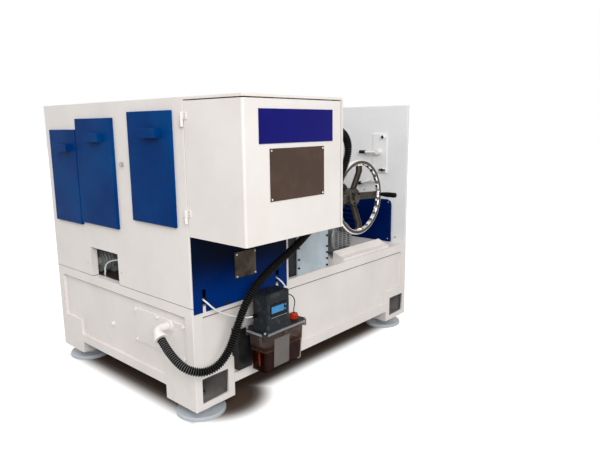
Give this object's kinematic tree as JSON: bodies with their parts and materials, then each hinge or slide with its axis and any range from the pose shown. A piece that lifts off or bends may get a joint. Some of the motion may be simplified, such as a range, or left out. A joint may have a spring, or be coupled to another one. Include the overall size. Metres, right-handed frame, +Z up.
{
  "type": "nail making machine",
  "caption": "Enclosed wire nail making machine: white base on levelling feet, blue side covers, overhanging hinged guard, open bay with handwheel, motor and oil lubricator.",
  "frame": {"origin": "on the floor, under the middle of the machine's box", "axes": "+X along the front towards the end wall, +Y from the guard to the back, +Z up"},
  "size_m": [1.8372, 1.605, 1.424],
  "materials": {
    "white_paint": "satin",
    "blue_paint": "satin",
    "navy_paint": "satin",
    "sign_blue": "gloss",
    "stainless": "brushed",
    "zinc": "satin",
    "grey_paint": "satin",
    "dark_casting": "painted",
    "wheel_metal": "machined",
    "film": "gloss",
    "black_plastic": "satin",
    "tube_white": "satin",
    "clear_tank": "gloss",
    "oil": "gloss",
    "pump_grey": "satin",
    "display_blue": "gloss",
    "orange_plastic": "satin"
  },
  "bodies": {
    "base": {"foot_pads": "white_paint", "levelling_screws": "zinc", "leg_front_left": "white_paint", "leg_front_right": "white_paint", "leg_back_left": "white_paint", "leg_back_right": "white_paint", "corner_posts": "white_paint", "top_rails": "white_paint", "bottom_rails": "white_paint", "base_panels": "white_paint", "deck": "white_paint", "base_hatch": "white_paint", "conduit_elbow": "white_paint", "left_wall": "white_paint", "cover_pulls": "blue_paint", "cabinet_lock": "zinc", "roof": "white_paint", "back_wall": "white_paint", "end_wall": "white_paint", "hood_side": "white_paint", "wall_hinges": "white_paint", "front_panel": "navy_paint", "tool_plate": "stainless", "panel_post": "white_paint", "machine_bed": "dark_casting", "slide_housing": "dark_casting", "slide_cover": "film", "wheel_bearing": "dark_casting", "motor": "grey_paint", "fan_cowl": "grey_paint", "oil_tray": "white_paint", "selector_plate": "white_paint", "wall_levers": "black_plastic", "louvre_cover": "blue_paint", "lubricator_bracket": "dark_casting", "oil_tank": "clear_tank", "tank_oil": "oil", "pump_head": "pump_grey", "pump_display": "display_blue", "filler_cap": "orange_plastic", "drive_motor": "grey_paint", "conduit_gland": "black_plastic", "window_fittings": "zinc", "front_cover": "blue_paint", "middle_cover": "blue_paint", "rear_cover": "blue_paint", "conduit": "black_plastic", "left_oil_tube": "tube_white", "right_oil_tube": "tube_white", "cap_tether": "black_plastic", "window_tube": "tube_white"},
    "guard": {"guard": "white_paint", "guard_sign": "sign_blue", "guard_chart": "stainless", "guard_hinges": "white_paint"},
    "wheel": {"handwheel": "wheel_metal", "wheel_shaft": "zinc", "wheel_grip": "black_plastic"}
  },
  "joints": [
    {"name": "guard_hinge", "type": "hinge", "parent": "base", "child": "guard", "pos_m": [-0.83358, -0.4485, 0.857], "axis": [0, 0, -1], "range_deg": [0, 105]},
    {"name": "wheel_spin", "type": "hinge", "parent": "base", "child": "wheel", "pos_m": [0.45776, -0.3885, 0.884], "axis": [0, -1, 0], "continuous": true}
  ]
}
